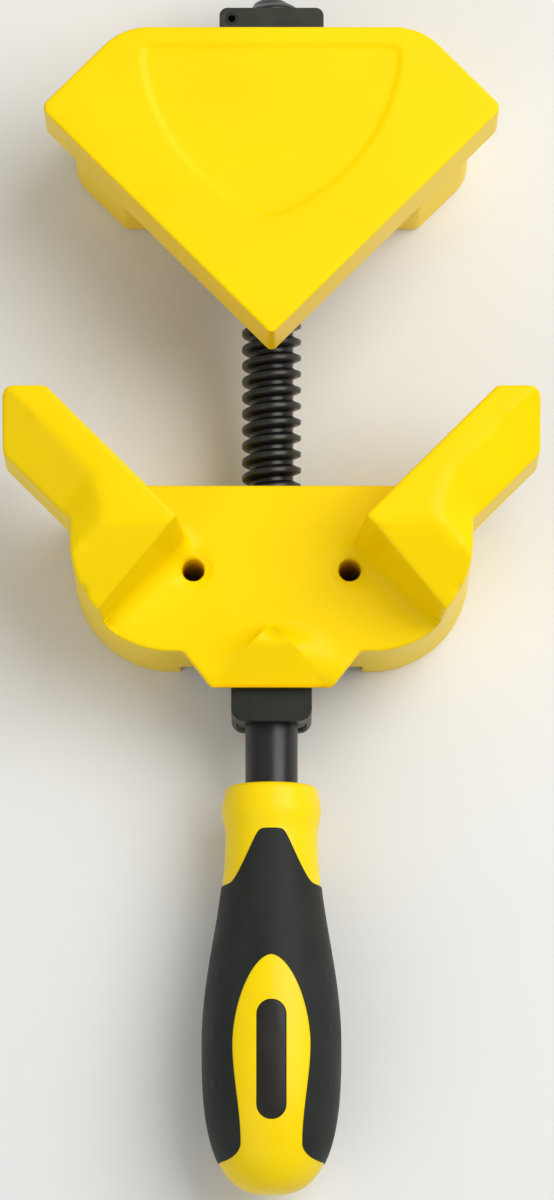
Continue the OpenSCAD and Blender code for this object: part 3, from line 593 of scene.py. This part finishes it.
def grip_points(side):
    """Half the grip: rows run back from the tongue's edge, columns from window edge to window edge.

    Rows crowd where the window opens and where the lobes end, and every free rim sinks into the core.
    """
    share = (1 - np.cos(math.pi * np.linspace(0, 1, GRIP_COLUMNS)))[None, :] / 2
    angle = math.pi * share
    front = grip_front(WAIST_R * np.sin(angle))
    ring = front + (RING_AT - front) * np.linspace(0, 1, RING_ROWS)[:, None]
    back = np.concatenate([
        np.linspace(RING_AT, WINDOW_AT, BAND_ROWS + 1)[1:],
        WINDOW_AT + (WINDOW_WIDE_AT - WINDOW_AT) * (1 - np.cos(quarter_turn(WINDOW_ROWS))),
        np.linspace(WINDOW_WIDE_AT, NECK_AT, LOBE_ROWS + 1)[1:],
        NECK_AT + (LOBE_END - NECK_AT) * np.sin(quarter_turn(FLARE_ROWS))])[:, None]
    start = np.arcsin(np.clip(window_half_width(back) / handle_radius(back), 0, 1))
    start = np.where(back <= WINDOW_AT, 0, start)
    lobe_angle = start + (math.pi - 2 * start) * share
    s = np.vstack([ring, np.broadcast_to(back, lobe_angle.shape)])
    turn = np.vstack([np.broadcast_to(angle, ring.shape), lobe_angle])
    lift = np.full(s.shape, GRIP_LIFT)
    lift[0] = -RIM_SINK
    lift[RING_ROWS + BAND_ROWS:, [0, -1]] = -RIM_SINK
    return handle_points(s, side * turn, lift)


def join(name, parts):
    """One mesh out of several, with the vertices that meet joined."""
    whole = bmesh.new()
    for part in parts:
        whole.from_mesh(part.data)
        bpy.data.objects.remove(part)
    bmesh.ops.remove_doubles(whole, verts=whole.verts, dist=SEAM_GAP * MM)
    bmesh.ops.recalc_face_normals(whole, faces=whole.faces)
    mesh = bpy.data.meshes.new(name)
    whole.to_mesh(mesh)
    whole.free()
    mesh.shade_smooth()
    piece = bpy.data.objects.new(name, mesh)
    bpy.context.scene.collection.objects.link(piece)
    return piece


def thicken(piece, name, depth):
    """Gives an open skin a wall of some depth on its inner side."""
    wall = piece.modifiers.new(name, "SOLIDIFY")
    wall.thickness = depth * MM
    wall.offset = -1


soft_black = finish(
    "soft_black", light=tone(42, 45, 41), dark=tone(36, 39, 35), patch=9, grain=0.35, height=0.02,
    rough=0.55, sockets={"Specular IOR Level": 0.16})
grip = join("soft_grip", [skin("grip_half", grip_points(side), False) for side in (1, -1)])
thicken(grip, "wall", GRIP_WALL)
fit(grip, "spindle", "soft_grip", soft_black, "handle_grip")

# Grip studs: low round studs of the same soft rubber, moulded in one with the grip.
# Three stand in a row on each quarter of its lobes, and their rims sink into its surface.
STUD_AT = (47.6, 60.9, 73.7)
STUD_TURN = (55, 125, 235, 305)
STUD_R = 1.5
STUD_RISE = 0.16
STUD_RINGS = (1.0, 1.0, 0.85, 0.6, 0.3, 0.0)
STUD_COLUMNS = 20


def stud_points(s, turn):
    """A low dome on the handle's surface: rings of a disc, lifted by a quarter wave, the rim sunk."""
    share = np.array(STUD_RINGS)[:, None]
    lift = GRIP_LIFT + STUD_RISE * np.cos(share * math.pi / 2)
    lift[0] = 0
    round_turn = full_turn(STUD_COLUMNS)
    place = s + STUD_R * share * np.cos(round_turn)
    angle = math.radians(turn) + STUD_R * share * np.sin(round_turn) / handle_radius(place)
    return handle_points(place, angle, np.broadcast_to(lift, place.shape))


studs = join("grip_studs", [
    skin("stud", stud_points(s, turn), True) for s in STUD_AT for turn in STUD_TURN])
fit(studs, "spindle", "soft_grip", soft_black)

# Handle inlay: a plain strip of dark plastic with round ends, pressed into the upper window.
# Its face follows the belly of the handle and stands a little proud of it.
INLAY_AT = 53.6
INLAY_L = 29.0
INLAY_R = 3.65
INLAY_LIFT = 0.16
INLAY_SINK = 0.3
INLAY_SIDE_EASE = 0.8
INLAY_END_EASE = 0.9
INLAY_SHARES = (-1, -1, -0.94, -0.8, -0.4, 0, 0.4, 0.8, 0.94, 1, 1)
INLAY_ROWS = 49


def inlay_points():
    """A stadium on the handle's surface: across it runs from edge to edge, along it from end to end."""
    across = np.array(INLAY_SHARES)[None, :]
    along = np.sin(np.linspace(-math.pi / 2, math.pi / 2, INLAY_ROWS))[:, None] * INLAY_L / 2
    past = np.maximum(np.abs(along) - INLAY_L / 2 + INLAY_R, 0)
    half = np.sqrt(np.maximum(INLAY_R ** 2 - past ** 2, 0))
    side_edge = ease(1, INLAY_SIDE_EASE, np.abs(across))
    end_edge = ease(INLAY_R, INLAY_R * INLAY_END_EASE, past)
    lift = INLAY_LIFT * np.minimum(side_edge, end_edge)
    lift[:, [0, -1]] = -INLAY_SINK
    lift[[0, -1], :] = -INLAY_SINK
    s = np.broadcast_to(INLAY_AT + INLAY_L / 2 + along, lift.shape)
    return handle_points(s, np.arcsin(across * half / handle_radius(s)), lift)


dark_inlay = finish(
    "dark_inlay", light=tone(40, 39, 34), dark=tone(34, 33, 28), patch=7, grain=0.3, height=0.006,
    rough=0.42, sockets={"Specular IOR Level": 0.2})
inlay = skin("handle_strip", inlay_points(), False)
thicken(inlay, "backing", INLAY_SINK)
fit(inlay, "spindle", "dark_inlay", dark_inlay, "handle_inlay")

# Nut carrier: a block under the jaw, cast in zinc and left dark, with its edges well rounded.
# It holds the flanged bronze nut, a hollow lock pin and the two pins that the jaw swivels on.
CARRIER_EDGE = 1.4
CARRIER_BORE_R = 11.9
dark_zinc = finish(
    "dark_zinc", light=tone(56, 57, 52), dark=tone(44, 45, 40), patch=8, grain=0.3, height=0.02,
    rough=0.45, sockets={"Specular IOR Level": 0.22})
carrier = milled("nut_carrier", "nut_block", CARRIER_EDGE, CARRIER_BORE_R)
fit(carrier, "carrier", "dark_zinc", dark_zinc, "nut_carrier")
dress(bronze, "spindle_nut")
dress(bright_steel, "carrier_swivel_pins")
dress(black_steel, "nut_lock_pin")

# Moving jaw: the wedge-shaped head on its pedestal, cast and coated as the frame is.
# A shallow panel with bowed sides is sunk in its top, with soft edges and rounded corners.
HEAD_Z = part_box("jaw_casting")[1].z / MM
HEAD_SLACK = 1.0
PANEL_TOP_Y = 124.5
PANEL_BOW_R = 46.0
PANEL_BOW_X = 14.6
PANEL_BOW_Y = 126.0
PANEL_DEPTH = 0.6
PANEL_EDGE = 0.8
PANEL_REACH = 2.4
PANEL_CORNER = 1.2


def panel_relief(x, y, z):
    """The head's top, sunk within two bows and a straight edge.

    The depth follows the soft least of the distances inside them, -c ln(sum of exp(-d / c)).
    """
    bow = PANEL_BOW_R - np.hypot(np.hypot(x, PANEL_CORNER) + PANEL_BOW_X, y - PANEL_BOW_Y)
    straight = PANEL_TOP_Y - y
    inside = -PANEL_CORNER * np.logaddexp(-bow / PANEL_CORNER, -straight / PANEL_CORNER)
    sunk = HEAD_Z - PANEL_DEPTH * ease(-PANEL_EDGE, PANEL_EDGE, inside)
    return np.where((z > HEAD_Z - HEAD_SLACK) & (inside > -PANEL_REACH), sunk, z)


def jaw_generous(x, y, z):
    """No larger radius on the jaw."""
    return np.zeros(x.shape)


jaw_cast = cast("jaw_casting", "jaw_cast", jaw_generous, panel_relief)
fit(jaw_cast, "jaw", "yellow_paint", yellow_coat, "jaw_casting")

# Keepers: plated steel plates that hold the lower swivel pins, each on countersunk socket screws.
# The nose's plate has its front corners cut off, so that it stays out of sight under the nose.
TRIM_AT = (10.4, -24.4)
TRIM_TURN = math.radians(50)
SCREW_HEAD_R = 3.2
SCREW_HEAD_H = 1.8
SCREW_R = 1.7
SCREW_COLUMNS = 36
SOCKET_R = 1.25
SOCKET_DEPTH = 1.3
SOCKET_SIDE = math.pi / 3


def trimmed_plate(node, name):
    """A keeper plate with both front corners cut off along upright planes."""
    piece = solid_copy(node, name)
    shape = bmesh.new()
    shape.from_mesh(piece.data)
    for side in (-1, 1):
        whole = shape.verts[:] + shape.edges[:] + shape.faces[:]
        cut = bmesh.ops.bisect_plane(
            shape, geom=whole, clear_outer=True, plane_co=(side * TRIM_AT[0] * MM, TRIM_AT[1] * MM, 0),
            plane_no=(side * math.cos(TRIM_TURN), -math.sin(TRIM_TURN), 0))
        rim = [line for line in cut["geom_cut"] if isinstance(line, bmesh.types.BMEdge)]
        bmesh.ops.holes_fill(shape, edges=rim)
    bmesh.ops.recalc_face_normals(shape, faces=shape.faces)
    shape.to_mesh(piece.data)
    shape.free()
    return piece


def screw_points(x, y, foot, top):
    """An upright screw: socket floor, six-sided socket, flat face, countersunk cone, shank and end.

    A six-sided socket's radius is r / cos of the angle from the middle of its nearest side.
    """
    angle = full_turn(SCREW_COLUMNS)
    six = SOCKET_R / np.cos((angle + SOCKET_SIDE / 2) % SOCKET_SIDE - SOCKET_SIDE / 2)
    plain = np.ones_like(angle)
    radius = np.vstack([
        0 * plain, six, six, SCREW_HEAD_R * plain, SCREW_R * plain, SCREW_R * plain, 0 * plain])
    floor_z = foot + SOCKET_DEPTH
    height = np.array([floor_z, floor_z, foot, foot, foot + SCREW_HEAD_H, top, top])[:, None]
    height = np.broadcast_to(height, radius.shape)
    return np.stack([x + radius * np.cos(angle), y + radius * np.sin(angle), height], axis=-1)


def keeper_screws(node, name):
    """The screws of one plate, one at each corner of their solids' box.

    Places are rounded to 0.1 mm, so that a box one screw wide gives one place across it and not two.
    """
    low, high = (np.array(corner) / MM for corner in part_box(node))
    across = np.unique(np.round([low[0] + SCREW_HEAD_R, high[0] - SCREW_HEAD_R], 1))
    along = np.unique(np.round([low[1] + SCREW_HEAD_R, high[1] - SCREW_HEAD_R], 1))
    screws = join(name, [
        skin("screw", screw_points(x, y, low[2], high[2]), True) for x in across for y in along])
    screws.data.shade_flat()
    return screws


nose_keeper = trimmed_plate("block_keeper_plate", "nose_keeper")
nose_screws = keeper_screws("block_keeper_screws", "nose_screws")
jaw_screws = keeper_screws("jaw_keeper_screws", "jaw_screws")
fit(nose_keeper, "frame", "bright_steel", bright_steel, "block_keeper_plate")
fit(nose_screws, "frame", "bright_steel", bright_steel, "block_keeper_screws")
fit(jaw_screws, "jaw", "bright_steel", bright_steel, "jaw_keeper_screws")
dress(bright_steel, "jaw_keeper_plate")

# Floor: a pale matt board that the clamp lies on, wide enough to fill every view.
# It is one flat sheet, and the clamp's underside rests on it.
FLOOR_SIZE = 4.0
floor_mesh = bpy.data.meshes.new("floor")
half = FLOOR_SIZE / 2
floor_mesh.from_pydata(
    [(-half, -half, 0), (half, -half, 0), (half, half, 0), (-half, half, 0)], [], [(0, 1, 2, 3)])
floor = bpy.data.objects.new("floor", floor_mesh)
bpy.context.scene.collection.objects.link(floor)
pale_board = finish(
    "pale_board", light=tone(232, 232, 230), dark=tone(228, 228, 226), patch=200, grain=1.0, height=0.01,
    rough=0.8, sockets={"Specular IOR Level": 0.2})
floor_mesh.materials.append(pale_board)

# Light: a broad soft lamp from the upper right and a weak one opposite, as in a small studio.
# An even pale surround lifts the shadows.
WORLD_TONE = (1, 1, 1, 1)
WORLD_LEVEL = 0.42


def soft_lamp(name, place, size, power):
    """A square soft lamp that faces the middle of the clamp."""
    lamp = bpy.data.lights.new(name, "AREA")
    lamp.size = size
    lamp.energy = power
    stand = bpy.data.objects.new(name, lamp)
    bpy.context.scene.collection.objects.link(stand)
    stand.location = place
    stand.rotation_euler = (-Vector(place)).to_track_quat("-Z", "Y").to_euler()


soft_lamp("key_lamp", place=(0.58, 0.30, 0.95), size=0.9, power=10.8)
soft_lamp("fill_lamp", place=(-0.6, -0.65, 0.8), size=1.0, power=2.4)
world = bpy.data.worlds.new("surround")
world.use_nodes = True
surround = world.node_tree.nodes["Background"]
surround.inputs["Color"].default_value = WORLD_TONE
surround.inputs["Strength"].default_value = WORLD_LEVEL
bpy.context.scene.world = world

# Camera: high above the clamp, leaning 9 degrees towards the handle.
# A long lens at two metres keeps the sides of the clamp nearly parallel.
AIM = Vector((1.34, -5.12, 20.0)) * MM
LEAN = math.radians(9)
DISTANCE = 2.0
SENSOR_HEIGHT = 36
FOCAL_LENGTH = 245.4
lens = bpy.data.cameras.new("camera")
lens.sensor_fit = "VERTICAL"
lens.sensor_height = SENSOR_HEIGHT
lens.lens = FOCAL_LENGTH
camera = bpy.data.objects.new("camera", lens)
bpy.context.scene.collection.objects.link(camera)
camera.location = AIM + DISTANCE * Vector((0, -math.sin(LEAN), math.cos(LEAN)))
camera.rotation_euler = (LEAN, 0, 0)
bpy.context.scene.camera = camera
bpy.context.scene.view_settings.view_transform = "Standard"
